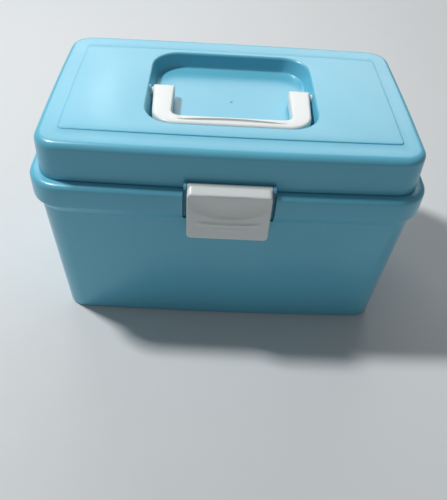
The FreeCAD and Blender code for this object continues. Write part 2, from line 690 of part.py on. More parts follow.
def make_tray(name, inset, rest, depth, pitch, places):
    """A tray that hangs by its flange, with one long partition, divider grooves and two finger tabs."""
    body = new_body(name)
    frame = (f"lid_length / 2 - {inset}", f"lid_depth / 2 - {inset}", "tray_corner", "side_bow", "end_bow")
    top = f"({rest} + flange_thick)"
    low = f"({top} - {depth})"
    pad(body, "shell", plan(body, "shell_plan", frame, "0", low), depth)
    flange_width = "(rest_width + tray_side_gap)"
    pad(body, "flange", plan(body, "flange_plan", frame, flange_width, rest), "flange_thick")
    pocket(body, "hollow", plan(body, "hollow_plan", frame, "-tray_wall", top), f"{depth} - tray_floor")
    half_inside = f"({END_APEX} - {inset} - tray_wall)"
    partition = new_sketch(body, "partition_plan", "XY_Plane", f"{low} + tray_floor / 2")
    rectangle(
        partition,
        f"-{half_inside} - tray_wall / 2",
        "-partition_thick / 2",
        f"{half_inside} + tray_wall / 2",
        "partition_thick / 2",
    )
    pad(body, "partition", partition, f"{depth} - tray_floor / 2 - partition_drop")
    half_slot = "(divider_thick / 2 + divider_clearance)"
    slots = new_sketch(body, "groove_plan", "XY_Plane", top)
    groove_end = f"({SIDE_APEX} - {inset} - tray_wall + groove_depth)"
    groove_start = "(partition_thick / 2 - groove_depth)"
    for place in places:
        left, right = f"{place} * {pitch} - {half_slot}", f"{place} * {pitch} + {half_slot}"
        rectangle(slots, left, groove_start, right, groove_end)
        rectangle(slots, left, f"-{groove_end}", right, f"-{groove_start}")
    pocket(body, "grooves", slots, f"{depth} - tray_floor")
    tab_x = f"({END_APEX} - {inset} - tray_wall / 2)"
    for end, place in (("left", f"-{tab_x}"), ("right", tab_x)):
        tab = new_sketch(body, f"{end}_tab_side", "YZ_Plane", place)
        tip = f"{top} + tab_rise"
        polygon(tab, [
            ("-tab_width / 2", rest),
            ("tab_width / 2", rest),
            ("tab_width / 2", f"{tip} - tab_chamfer"),
            ("tab_width / 2 - tab_chamfer", tip),
            ("-tab_width / 2 + tab_chamfer", tip),
            ("-tab_width / 2", f"{tip} - tab_chamfer"),
        ])
        pad(body, f"{end}_tab", tab, "tab_thick", midplane=True)
    return body


def make_divider(name, inset, rest, depth, pitch, place, row):
    """A loose cross divider standing in its grooves, with a scooped top edge to take it out by."""
    body = new_body(name)
    near = "(partition_thick / 2 - groove_depth + divider_clearance)"
    far = f"({SIDE_APEX} - {inset} - tray_wall + groove_depth - divider_clearance)"
    low = f"({rest} + flange_thick - {depth} + tray_floor + divider_clearance / 4)"
    top = f"({rest} + flange_thick - partition_drop)"
    middle = f"(({near} + {far}) / 2)"
    side = new_sketch(body, f"{name}_side", "YZ_Plane")
    polygon(side, [
        (f"{row} * {near}", low),
        (f"{row} * {far}", low),
        (f"{row} * {far}", top),
        (f"{row} * ({middle} + 2 * divider_scoop)", top),
        (f"{row} * ({middle} + divider_scoop)", f"{top} - divider_scoop"),
        (f"{row} * ({middle} - divider_scoop)", f"{top} - divider_scoop"),
        (f"{row} * ({middle} - 2 * divider_scoop)", top),
        (f"{row} * {near}", top),
    ])
    pad(body, f"{name}_plate", side, "divider_thick", midplane=True)
    bind(body, "Placement.Base.x", f"{place} * {pitch}")
    return body


def make_dividers(prefix, tray, places):
    """All the dividers of one tray, counted from the front left."""
    spots = [(row, place) for row in ("-1", "1") for place in places]
    for count, (row, place) in enumerate(spots, start=1):
        make_divider(f"{prefix}_divider_{count}", *tray, place, row)


UPPER_TRAY = (UPPER_WALL_INSET, UPPER_REST, "upper_tray_depth", "upper_divider_pitch")
LOWER_TRAY = (LOWER_WALL_INSET, LOWER_REST, "lower_tray_depth", "lower_divider_pitch")
UPPER_PLACES = ("-1", "0", "1")
LOWER_PLACES = ("-0.5", "0.5")

make_body_shell()
make_lid_shell()
make_hinge_pin("hinge_pin_left", "-1")
make_hinge_pin("hinge_pin_right", "1")
make_carry_handle()
make_latch_flap()
make_latch_pin()
make_tray("upper_tray", *UPPER_TRAY, UPPER_PLACES)
make_tray("lower_tray", *LOWER_TRAY, LOWER_PLACES)
make_dividers("upper", UPPER_TRAY, UPPER_PLACES)
make_dividers("lower", LOWER_TRAY, LOWER_PLACES)
doc.recompute()

for item in doc.Objects:
    if "Invalid" in item.State or "Error" in item.State:
        raise RuntimeError(f"{item.Label} did not build")

os.makedirs("parts", exist_ok=True)
for item in doc.Objects:
    if item.TypeId != "PartDesign::Body":
        continue
    if item.Shape.isNull() or not item.Shape.isValid():
        raise RuntimeError(f"{item.Label} has no valid shape")
    if len(item.Shape.Solids) != 1:
        raise RuntimeError(f"{item.Label} is not one solid")
    item.Shape.exportStep(f"parts/{item.Label}.step")
    box = item.Shape.BoundBox
    print(f"{item.Label}: {box.XLength:.1f} x {box.YLength:.1f} x {box.ZLength:.1f}, "
          f"z {box.ZMin:.1f} to {box.ZMax:.1f}, {item.Shape.Volume / 1000:.1f} cc")
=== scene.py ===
import math

import bmesh
import bpy
from mathutils import Matrix, Vector


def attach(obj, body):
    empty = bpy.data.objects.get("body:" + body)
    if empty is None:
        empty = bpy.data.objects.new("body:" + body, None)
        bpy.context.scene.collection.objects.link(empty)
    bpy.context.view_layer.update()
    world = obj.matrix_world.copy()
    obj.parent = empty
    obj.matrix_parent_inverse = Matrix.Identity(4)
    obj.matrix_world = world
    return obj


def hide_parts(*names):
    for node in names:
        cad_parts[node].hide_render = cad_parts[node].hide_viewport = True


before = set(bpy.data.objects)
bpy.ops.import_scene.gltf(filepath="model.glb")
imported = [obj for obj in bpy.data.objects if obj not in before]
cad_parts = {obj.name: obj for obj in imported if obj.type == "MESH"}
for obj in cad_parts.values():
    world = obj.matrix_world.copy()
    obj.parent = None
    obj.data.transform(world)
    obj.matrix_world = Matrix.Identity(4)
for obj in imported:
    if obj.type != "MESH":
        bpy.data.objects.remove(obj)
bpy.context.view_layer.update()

bl_info = {
    "name": "Sewing Box",
    "version": (1, 0, 0),
    "blender": (4, 5, 0),
    "location": "3D View > Sidebar > Sewing Box",
    "description": "Builds the visible surfaces of a moulded sewing box around its frame",
    "category": "Add Mesh",
}

MM = 0.001
CORNER_STEPS = 14
SIDE_STEPS = 22
END_STEPS = 14
SETTLE_ROUNDS = 20
MOST_OF_SIDE = 0.49
MERGE_DISTANCE = 0.001 * MM
SINK = 1 * MM
HOOK_HALF = 14 * MM
SOCKET_CLEAR = 0.08 * MM


# ---------------------------------------------------------------- sizes and colours


def length(name, description, millimetres):
    """A length property given in millimetres and held in metres."""
    return bpy.props.FloatProperty(
        name=name, description=description, default=millimetres * MM, unit="LENGTH", precision=4
    )


def colour(name, description, shade):
    """A colour property with its default in linear light."""
    return bpy.props.FloatVectorProperty(
        name=name, description=description, default=shade, subtype="COLOR", size=3, min=0, max=1
    )


class PlanSizes(bpy.types.PropertyGroup):
    """The plan outline shared by the tub and the lid."""

    half_x: length("Half length", "Half the lid's length, corner to corner", 125.0)
    half_y: length("Half depth", "Half the lid's depth, corner to corner", 75.85)
    corner: length("Corner radius", "Radius of the lid's corners in plan", 17.0)
    side_bow: length("Side bow", "How far the long sides bulge", 2.1)
    end_bow: length("End bow", "How far the ends bulge", 1.0)


class TubSizes(bpy.types.PropertyGroup):
    """The tub's upright section."""

    base_inset: length("Base inset", "How far the base stands inside the lid outline", 4.0)
    base_wall: length("Base wall", "Wall thickness just above the floor", 2.3)
    floor: length("Floor", "Floor thickness", 2.5)
    crease: length("Crease height", "Height of the crease under the collar", 106.0)
    crease_stand: length("Crease stand", "How far the crease stands outside the lid outline", 2.2)
    collar_low: length("Collar foot", "Height where the collar's upright face starts", 112.5)
    collar_top: length("Collar top", "Height of the collar's top land", 129.5)
    collar_stand: length("Collar stand", "How far the collar stands outside the lid outline", 6.5)
    rim_inset: length("Rim inset", "How far the mouth stands inside the lid outline", 2.2)
    notch_half: length("Notch half width", "Half the width of the latch notch", 30.2)
    notch_back: length("Notch back", "Distance of the notch's back wall from the middle", 78.3)
    hinge_place: length("Hinge place", "Distance of each hinge from the middle", 75.0)
    hinge_y: length("Hinge axis back", "Distance of the hinge axis behind the middle", 88.45)
    hinge_z: length("Hinge axis height", "Height of the hinge axis", 133.0)
    knuckle: length("Knuckle radius", "Outer radius of the hinge knuckles", 4.0)
    knuckle_length: length("Knuckle length", "Length of one hinge knuckle", 12.0)
    knuckle_gap: length("Knuckle gap", "Gap between neighbouring knuckles", 0.3)
    hinge_hole: length("Hinge hole radius", "Radius of the holes for the hinge pins", 1.55)


class LidSizes(bpy.types.PropertyGroup):
    """The lid's section, its panel and the handle well."""

    low: length("Lid edge height", "Height of the lid's lower edge", 129.9)
    top: length("Lid top height", "Height of the lid's margin round the panel", 156.9)
    draft: length("Draft", "How much the skirt leans in towards the top", 0.8)
    wall: length("Wall", "Lid wall thickness", 2.2)
    round: length("Top rounding", "Radius of the rounding round the lid's top", 6.5)
    panel_end: length("Panel end margin", "Margin between the panel and the lid's ends", 14.5)
    panel_side: length("Panel side margin", "Margin between the panel and the long sides", 18.35)
    panel_rise: length("Panel rise", "Height of the panel over its margin", 0.6)
    panel_corner: length("Panel corner", "Corner radius of the panel", 3.0)
    panel_bow: length("Panel bow", "How far the panel's long sides bulge", 1.4)
    panel_shift: length("Panel shift", "How far the panel sits towards the back", -0.6)
    well_x: length("Well half length", "Half the well's length at its rim", 58.4)
    well_y: length("Well half depth", "Half the well's depth at its rim", 49.3)
    well_corner: length("Well corner", "Corner radius of the well at its rim", 20.5)
    well_shift: length("Well shift", "How far the well's middle sits towards the back", 3.2)
    well_floor: length("Well floor height", "Height of the well's floor", 146.1)
    well_end_slope: length("Well end slope", "How far the well's end walls lean in", 3.0)
    well_side_slope: length("Well side slope", "How far the well's long walls lean in", 1.2)


class HandleSizes(bpy.types.PropertyGroup):
    """The folding bail handle."""

    pivot_y: length("Pivot place", "Distance of the pivot behind the middle", 2.3)
    pivot_z: length("Pivot height", "Height of the pivot", 152.0)
    thick: length("Thickness", "Thickness of the arms and the grip", 9.4)
    half_width: length("Half width", "Half the width over the arms at the pivot", 55.5)
    taper: length("Taper", "How much each arm leans in towards the grip", 2.6)
    arm: length("Arm width", "Width of each arm", 15.0)
    reach: length("Grip reach", "Distance from the pivot to the grip's outer face", 46.9)
    grip: length("Grip width", "Width of the grip", 10.4)
    outer_round: length("Outer rounding", "Radius of the bail's outer corners", 17.0)
    inner_round: length("Inner rounding", "Radius of the bail's inner corners", 6.0)
    edge: length("Edge rounding", "Rounding of the long edges", 1.9)
    stub: length("Stub radius", "Radius of the stub pins", 3.0)
    stub_length: length("Stub length", "How far the stub pins stand out", 8.0)
    groove: length("Groove depth", "Depth of the lens-shaped groove in the grip", 1.3)


class LatchSizes(bpy.types.PropertyGroup):
    """The front latch."""

    half_width: length("Half width", "Half the latch's width", 27.3)
    pivot_y: length("Pivot place", "Distance of the pivot in front of the middle", 80.5)
    pivot_z: length("Pivot height", "Height of the pivot", 133.3)
    barrel: length("Barrel radius", "Radius of the rolled edge at the pivot", 2.2)
    reach: length("Reach", "Distance from the pivot to the front face", 7.7)
    top_fall: length("Top fall", "How much the top plate slopes down to the front", 3.0)
    low: length("Lower edge height", "Height of the latch's lower edge", 95.2)
    wall: length("Wall", "Thickness of the latch's plates", 2.2)
    corner: length("Corner radius", "Radius of the lower corners", 3.0)
    dish: length("Dish depth", "Depth of the finger scoop in the front face", 1.9)
    scoop_low: length("Scoop foot", "Height where the finger scoop starts, at the middle", 112.6)
    scoop_rise: length("Scoop rise", "How much higher the scoop starts at the latch's sides", 9.0)
    ridge_low: length("Ridge place", "Height of the finger ridge at the middle", 108.6)
    ridge_width: length("Ridge half width", "Half the width of the finger ridge", 0.95)
    ridge: length("Ridge height", "Height of the curved finger ridge", 0.9)


class BoxColours(bpy.types.PropertyGroup):
    """Finishes of the box, and of the stage."""

    blue: colour("Blue plastic", "Tub and lid", (0.13, 0.49, 0.66))
    white: colour("White plastic", "Handle and latch", (0.75, 0.79, 0.78))
    tray: colour("Tray plastic", "Trays", (0.76, 0.80, 0.81))
    divider: colour("Divider plastic", "Loose dividers", (0.70, 0.76, 0.79))
    steel: colour("Steel", "Hinge and latch pins", (0.60, 0.60, 0.62))
    floor: colour("Floor", "Stage floor", (0.66, 0.68, 0.69))


class BoxSettings(bpy.types.PropertyGroup):
    """Every group of sizes and colours of the sewing box."""

    plan: bpy.props.PointerProperty(type=PlanSizes)
    tub: bpy.props.PointerProperty(type=TubSizes)
    lid: bpy.props.PointerProperty(type=LidSizes)
    handle: bpy.props.PointerProperty(type=HandleSizes)
    latch: bpy.props.PointerProperty(type=LatchSizes)
    colours: bpy.props.PointerProperty(type=BoxColours)


def settings():
    """The sewing box's sizes and colours in this scene."""
    return bpy.context.scene.sewing_box


# ---------------------------------------------------------------- outlines and rings


def arc(centre, radius, start, stop, steps):
    """Points along an arc, its last point left to what follows."""
    turns = [start + (stop - start) * step / steps for step in range(steps)]
    return [(centre[0] + radius * math.cos(turn), centre[1] + radius * math.sin(turn)) for turn in turns]


def bowed_outline(half_x, half_y, corner, side_bow, end_bow, grow=0.0, shift=0.0):
    """A rounded rectangle with bowed sides, grown all round, as an even list of points."""
    side_radius = (half_x**2 + side_bow**2) / (2 * side_bow)
    end_radius = (half_y**2 + end_bow**2) / (2 * end_bow)
    side_centre = half_y + side_bow - side_radius
    end_centre = half_x + end_bow - end_radius
    x, y = half_x - corner, half_y - corner
    for _ in range(SETTLE_ROUNDS):
        x = end_centre + math.sqrt((end_radius - corner) ** 2 - y**2)
        y = side_centre + math.sqrt((side_radius - corner) ** 2 - x**2)
    end_angle = math.atan2(y, x - end_centre)
    side_angle = math.atan2(y - side_centre, x)
    small, long_side, end = corner + grow, side_radius + grow, end_radius + grow
    half = arc((end_centre, 0), end, -end_angle, end_angle, END_STEPS)
    half += arc((x, y), small, end_angle, side_angle, CORNER_STEPS)
    half += arc((0, side_centre), long_side, side_angle, math.pi - side_angle, SIDE_STEPS)
    half += arc((-x, y), small, math.pi - side_angle, math.pi - end_angle, CORNER_STEPS)
    points = half + [(-across, -along) for across, along in half]
    return [(across, along + shift) for across, along in points]


def lid_outline(grow=0.0):
    """The lid's plan outline, grown all round."""
    plan = settings().plan
    return bowed_outline(plan.half_x, plan.half_y, plan.corner, plan.side_bow, plan.end_bow, grow)


def level_ring(outline, height):
    """A plan outline at a height."""
    return [Vector((x, y, height)) for x, y in outline]


def between(first, second, share):
    """A ring part of the way from one ring to another."""
    return [start.lerp(stop, share) for start, stop in zip(first, second)]


def rounded_path(corners, steps=6):
    """A path through (out, up, radius) corners, each turned into an arc of its radius."""
    path = []
    for index, (out, up, radius) in enumerate(corners):
        here = Vector((out, up))
        if radius == 0 or index in (0, len(corners) - 1):
            path.append(here)
            continue
        back = Vector(corners[index - 1][:2]) - here
        ahead = Vector(corners[index + 1][:2]) - here
        opening = back.angle(ahead)
        reach = min(radius / math.tan(opening / 2), MOST_OF_SIDE * back.length, MOST_OF_SIDE * ahead.length)
        radius = reach * math.tan(opening / 2)
        middle = (back.normalized() + ahead.normalized()).normalized()
        centre = here + middle * radius / math.sin(opening / 2)
        start = here + back.normalized() * reach - centre
        swing = start.angle_signed(here + ahead.normalized() * reach - centre)
        for step in range(steps + 1):
            path.append(centre + Matrix.Rotation(-swing * step / steps, 2) @ start)
    return path


def new_piece(name, mesh):
    """An object in the scene for a finished mesh."""
    piece = bpy.data.objects.new(name, mesh)
    bpy.context.scene.collection.objects.link(piece)
    return piece


def shade(mesh, sharp_degrees=38):
    """Smooth shading, split at edges sharper than an angle."""
    for face in mesh.polygons:
        face.use_smooth = True
    mesh.set_sharp_from_angle(angle=math.radians(sharp_degrees))


def smooth_piece(name, work):
    """An object in the scene from an edited mesh, smooth where its edges are blunt."""
    mesh = bpy.data.meshes.new(name)
    work.to_mesh(mesh)
    work.free()
    shade(mesh)
    return new_piece(name, mesh)


def skin(name, rings, closed=False):
    """A surface through equal rings, capped at both ends or closed on itself."""
    work = bmesh.new()
    loops = [[work.verts.new(spot) for spot in ring] for ring in rings]
    pairs = list(zip(loops, loops[1:]))
    if closed:
        pairs.append((loops[-1], loops[0]))
    for lower, upper in pairs:
        for index in range(len(lower)):
            following = (index + 1) % len(lower)
            work.faces.new((lower[index], lower[following], upper[following], upper[index]))
    if not closed:
        work.faces.new(loops[0][::-1])
        work.faces.new(loops[-1])
    bmesh.ops.remove_doubles(work, verts=work.verts, dist=MERGE_DISTANCE)
    bmesh.ops.recalc_face_normals(work, faces=work.faces)
    return smooth_piece(name, work)


def plate(name, corners, start, stop, edge=0.4 * MM, axis="X"):
    """A flat plate with softened edges: its side outline pushed along X or Y."""
    work = bmesh.new()
    ends = []
    for place in (start, stop):
        if axis == "X":
            spots = [Vector((place, across, up)) for across, up in corners]
        else:
            spots = [Vector((across, place, up)) for across, up in corners]
        ends.append([work.verts.new(spot) for spot in spots])
    work.faces.new(ends[0])
    work.faces.new(ends[1][::-1])
    for index in range(len(corners)):
        following = (index + 1) % len(corners)
        work.faces.new((ends[0][index], ends[1][index], ends[1][following], ends[0][following]))
    bmesh.ops.recalc_face_normals(work, faces=work.faces)
    crease = math.radians(20)
    sharp = [line for line in work.edges if line.calc_face_angle(0) > crease]
    bmesh.ops.bevel(
        work, geom=sharp, offset=edge, segments=3, profile=0.5, affect="EDGES", clamp_overlap=True
    )
    return smooth_piece(name, work)


def circle(steps):
    """Evenly spaced angles, once round."""
    return [2 * math.pi * step / steps for step in range(steps)]


def turned(stations, centre, steps=36):
    """Rings about X, one for each (place, radius) station, round a centre in Y and Z."""
    rings = []
    for place, radius in stations:
        rings.append([
            Vector((place, centre[0] + radius * math.cos(turn), centre[1] + radius * math.sin(turn)))
            for turn in circle(steps)
        ])
    return rings


def joined(name, pieces):
    """Several pieces of one moulding, joined into one object."""
    context = {"active_object": pieces[0], "object": pieces[0], "selected_editable_objects": pieces}
    with bpy.context.temp_override(**context):
        bpy.ops.object.join()
    pieces[0].name = name
    pieces[0].data.name = name
    return pieces[0]


def cut_away(piece, cutter):
    """Cuts one closed piece out of another for good."""
    step = piece.modifiers.new("cut", "BOOLEAN")
    step.operation = "DIFFERENCE"
    step.solver = "EXACT"
    step.object = cutter
    graph = bpy.context.evaluated_depsgraph_get()
    mesh = bpy.data.meshes.new_from_object(piece.evaluated_get(graph))
    piece.modifiers.clear()
    piece.data = mesh
    bpy.data.objects.remove(cutter)
    if not mesh.polygons:
        raise RuntimeError(f"nothing is left of {piece.name}")
    shade(mesh)


def finish_piece(piece, body, material, replaced=()):
    """Gives a piece its material, its body and the nodes that it stands for."""
    piece.data.materials.clear()
    piece.data.materials.append(material)
    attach(piece, body)
    if replaced:
        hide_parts(*replaced)


# ---------------------------------------------------------------- materials


class Finish:
    """A new material with its shader, and short ways to add and join nodes."""

    def __init__(self, name):
        self.material = bpy.data.materials.new(name)
        self.material.use_nodes = True
        self.tree = self.material.node_tree
        self.shader = self.tree.nodes["Principled BSDF"]
        self.place = self.tree.nodes.new("ShaderNodeTexCoord").outputs["Object"]

    def node(self, kind, **values):
        """A node with some of its sockets or properties set."""
        made = self.tree.nodes.new(kind)
        for name, value in values.items():
            socket = made.inputs.get(name.replace("_", " "))
            if socket is not None:
                socket.default_value = value
            else:
                setattr(made, name, value)
        return made

    def link(self, start, stop):
        """Joins an output to an input."""
        self.tree.links.new(start, stop)

    def feed(self, start, name):
        """Joins an output to one of the shader's inputs."""
        self.link(start, self.shader.inputs[name])

    def noise(self, scale, detail=3.0, roughness=0.5, stretch=(1, 1, 1)):
        """A noise factor over the piece, stretched if asked."""
        mapping = self.node("ShaderNodeMapping")
        mapping.inputs["Scale"].default_value = stretch
        self.link(self.place, mapping.inputs["Vector"])
        noise = self.node("ShaderNodeTexNoise", Scale=scale, Detail=detail, Roughness=roughness)
        self.link(mapping.outputs["Vector"], noise.inputs["Vector"])
        return noise.outputs["Fac"]

    def ramp(self, factor, low, high, low_value, high_value):
        """A factor stretched between two limits."""
        limits = {"From_Min": low, "From_Max": high, "To_Min": low_value, "To_Max": high_value}
        span = self.node("ShaderNodeMapRange", **limits)
        self.link(factor, span.inputs["Value"])
        return span.outputs["Result"]

    def blend(self, factor, first, second):
        """Two colours mixed by a factor."""
        mix = self.node("ShaderNodeMix", data_type="RGBA")
        self.link(factor, mix.inputs["Factor"])
        mix.inputs["A"].default_value = (*first, 1)
        mix.inputs["B"].default_value = (*second, 1)
        return mix.outputs["Result"]

    def bump(self, height, strength, distance, normal=None):
        """A bump from a height, on top of another if given."""
        bump = self.node("ShaderNodeBump", Strength=strength, Distance=distance)
        self.link(height, bump.inputs["Height"])
        if normal is not None:
            self.link(normal, bump.inputs["Normal"])
        return bump.outputs["Normal"]


def tinted(shade_of, factor):
    """A colour made lighter or darker."""
    return tuple(min(1.0, part * factor) for part in shade_of)


def moulded_plastic(name, shade_of, roughness, wave=0.06, grain=0.12, coat=0.0):
    """Injection-moulded plastic: soft clouding and haze, a faint sink wave, skin grain and fine scratches."""
    sink_depth, grain_depth = 1.2 * MM, 0.04 * MM
    scratch_strength, scratch_depth, scratch_stretch = 0.04, 0.03 * MM, (1.0, 14.0, 3.0)
    finish = Finish(name)
    clouds = finish.ramp(finish.noise(9, 3), 0.35, 0.65, 0, 1)
    finish.feed(finish.blend(clouds, tinted(shade_of, 0.965), tinted(shade_of, 1.03)), "Base Color")
    haze = finish.ramp(finish.noise(26, 4), 0.3, 0.75, 0.92, 1.1)
    scratches = finish.noise(160, 2, 0.6, scratch_stretch)
    scuffed = finish.ramp(scratches, 0.55, 0.8, roughness, roughness * 1.15)
    wear = finish.node("ShaderNodeMath", operation="MULTIPLY")
    finish.link(haze, wear.inputs[0])
    finish.link(scuffed, wear.inputs[1])
    finish.feed(wear.outputs["Value"], "Roughness")
    sink = finish.bump(finish.noise(14, 1), wave, sink_depth)
    skin_grain = finish.bump(finish.noise(1400, 2), grain, grain_depth, sink)
    finish.feed(finish.bump(scratches, scratch_strength, scratch_depth, skin_grain), "Normal")
    finish.shader.inputs["IOR"].default_value = 1.5
    finish.shader.inputs["Coat Weight"].default_value = coat
    finish.shader.inputs["Coat Roughness"].default_value = 0.08
    return finish.material


def drawn_steel(name, shade_of):
    """Drawn steel wire with fine lines along its length."""
    line_depth, line_stretch = 0.05 * MM, (0.05, 1.0, 1.0)
    finish = Finish(name)
    lines = finish.noise(900, 3, 0.6, line_stretch)
    finish.feed(finish.blend(lines, tinted(shade_of, 0.85), tinted(shade_of, 1.1)), "Base Color")
    finish.feed(finish.ramp(lines, 0.3, 0.7, 0.25, 0.42), "Roughness")
    finish.feed(finish.bump(lines, 0.2, line_depth), "Normal")
    finish.shader.inputs["Metallic"].default_value = 1.0
    return finish.material


def studio_floor(name, shade_of):
    """Plain matt floor with barely visible mottling."""
    pit_depth = 0.5 * MM
    finish = Finish(name)
    clouds = finish.noise(3, 4)
    finish.feed(finish.blend(clouds, tinted(shade_of, 0.975), tinted(shade_of, 1.02)), "Base Color")
    finish.feed(finish.ramp(finish.noise(40, 3), 0.3, 0.7, 0.75, 0.9), "Roughness")
    finish.feed(finish.bump(finish.noise(300, 3), 0.06, pit_depth), "Normal")
    return finish.material


def finish_named(slot):
    """The detailed finish of a slot, made the first time that it is wanted."""
    name = f"{slot}_finish"
    if name in bpy.data.materials:
        return bpy.data.materials[name]
    colours = settings().colours
    if slot == "blue_plastic":
        return moulded_plastic(name, tuple(colours.blue), 0.3, coat=0.1)
    if slot == "white_plastic":
        return moulded_plastic(name, tuple(colours.white), 0.33, wave=0.04)
    if slot == "tray_plastic":
        return moulded_plastic(name, tuple(colours.tray), 0.36, wave=0.04)
    if slot == "divider_plastic":
        return moulded_plastic(name, tuple(colours.divider), 0.48, wave=0.03, grain=0.3)
    if slot == "steel":
        return drawn_steel(name, tuple(colours.steel))
    raise RuntimeError(f"no finish for {slot}")


# ---------------------------------------------------------------- tub


def tub_rings():
    """Rings from the middle of the underside, up the outside, over the collar and down to the floor."""
    tub = settings().tub
    base, wall = -tub.base_inset, -tub.base_inset - tub.base_wall
    underside_in, floor_in = 4 * MM, 5 * MM
    foot_round, crease_round, collar_round, land_round = 1.8 * MM, 1.0 * MM, 4.0 * MM, 3.6 * MM
    lip_round, neck_round, floor_round = 0.9 * MM, 6.0 * MM, 3.0 * MM
    section = rounded_path([
        (base - underside_in, 0, 0),
        (base, 0, foot_round),
        (tub.crease_stand, tub.crease, crease_round),
        (tub.collar_stand, tub.collar_low, collar_round),
        (tub.collar_stand, tub.collar_top, land_round),
        (-tub.rim_inset, tub.collar_top, lip_round),
        (-tub.rim_inset, tub.crease, neck_round),
        (wall, tub.floor, floor_round),
        (wall - floor_in, tub.floor, 0),
    ])
    return [level_ring(lid_outline(out), up) for out, up in section]


def notch_cutter():
    """The block that opens the collar for the latch."""
    tub = settings().tub
    past_collar, above_collar = 14 * MM, 6 * MM
    front, top = tub.notch_back + past_collar, tub.collar_top + above_collar
    corners = [
        (-front, tub.crease),
        (-tub.notch_back, tub.crease),
        (-tub.notch_back, top),
        (-front, top),
    ]
    return plate("notch_cutter", corners, -tub.notch_half, tub.notch_half, 0.6 * MM)


def knuckle(name, middle):
    """A hinge knuckle: a short tube with softened rims."""
    tub = settings().tub
    half, rim = tub.knuckle_length / 2, 0.4 * MM
    outer, hole = tub.knuckle, tub.hinge_hole
    stations = [
        (middle - half, hole),
        (middle - half, outer - rim),
        (middle - half + rim, outer),
        (middle + half - rim, outer),
        (middle + half, outer - rim),
        (middle + half, hole),
    ]
    return skin(name, turned(stations, (tub.hinge_y, tub.hinge_z)), closed=True)


def tub_hinges():
    """The tub's four knuckles, each on a web that grows out of the collar."""
    tub = settings().tub
    offset = tub.knuckle_length + tub.knuckle_gap
    half = tub.knuckle_length / 2
    root, low, under = tub.hinge_y - 11 * MM, tub.collar_top - 10.5 * MM, tub.hinge_z - 1.7 * MM
    web = [
        (root, low),
        (tub.hinge_y - 3.5 * MM, low),
        (tub.hinge_y + 3.6 * MM, under),
        (tub.hinge_y + 1.8 * MM, under),
        (tub.hinge_y - 1.8 * MM, tub.hinge_z + 0.6 * MM),
        (tub.hinge_y - 3.6 * MM, tub.hinge_z + 0.8 * MM),
        (root, tub.collar_top - 3.5 * MM),
    ]
    pieces = []
    for side in (-1, 1):
        for edge in (-1, 1):
            middle = side * tub.hinge_place + edge * offset
            pieces.append(plate("web", web, middle - half, middle + half))
            pieces.append(knuckle("knuckle", middle))
    return joined("tub_hinge_knuckles", pieces)


def rib_corners(side, apex):
    """Side outline of a stepped tray rib against a wall whose middle is at apex."""
    tub = settings().tub
    upper_stand, lower_stand = 8.4 * MM, 14.4 * MM
    upper_rest, lower_rest = 120 * MM, 84 * MM
    upper, lower, low = apex - upper_stand, apex - lower_stand, tub.floor - SINK
    corners = [
        (apex - tub.base_inset - tub.base_wall + SINK, low),
        (apex - tub.rim_inset + SINK, tub.crease),
        (apex - tub.rim_inset + SINK, upper_rest),
        (upper, upper_rest),
        (upper, lower_rest),
        (lower, lower_rest),
        (lower, low),
    ]
    return [(side * across, up) for across, up in corners]


def tub_ribs():
    """The eight stepped ribs that carry the trays."""
    plan = settings().plan
    half, side_place, end_place = 1.5 * MM, 55 * MM, 32 * MM
    pieces = []
    for side in (-1, 1):
        corners = rib_corners(side, plan.half_y + plan.side_bow)
        end_corners = rib_corners(side, plan.half_x + plan.end_bow)
        for place in (-side_place, side_place):
            pieces.append(plate("rib", corners, place - half, place + half))
        for place in (-end_place, end_place):
            pieces.append(plate("rib", end_corners, place - half, place + half, axis="Y"))
    return joined("tub_tray_ribs", pieces)


def latch_keeper():
    """The wedge in the notch that the latch hooks under."""
    tub = settings().tub
    stand, slope, undercut = 3.3 * MM, 5.3 * MM, 0.84 * MM
    root, apex = -tub.notch_back + SINK, -tub.notch_back - stand
    foot, top = tub.crease + 1 * MM, tub.crease + 8 * MM
    corners = [(root, foot), (root, top + slope), (apex, top), (apex + undercut, foot)]
    return plate("tub_latch_keeper", corners, -HOOK_HALF, HOOK_HALF, 0.3 * MM)


class SEWINGBOX_OT_tub(bpy.types.Operator):
    """Build the tub with its collar, latch notch, keeper, tray ribs and hinge knuckles"""

    bl_idname = "sewing_box.tub"
    bl_label = "Tub"

    def execute(self, context):
        shell = skin("tub_shell", tub_rings())
        cut_away(shell, notch_cutter())
        blue = finish_named("blue_plastic")
        finish_piece(shell, "tub", blue, ["body_shell"])
        for piece in (tub_hinges(), tub_ribs(), latch_keeper()):
            finish_piece(piece, "tub", blue)
        return {"FINISHED"}


# ---------------------------------------------------------------- lid


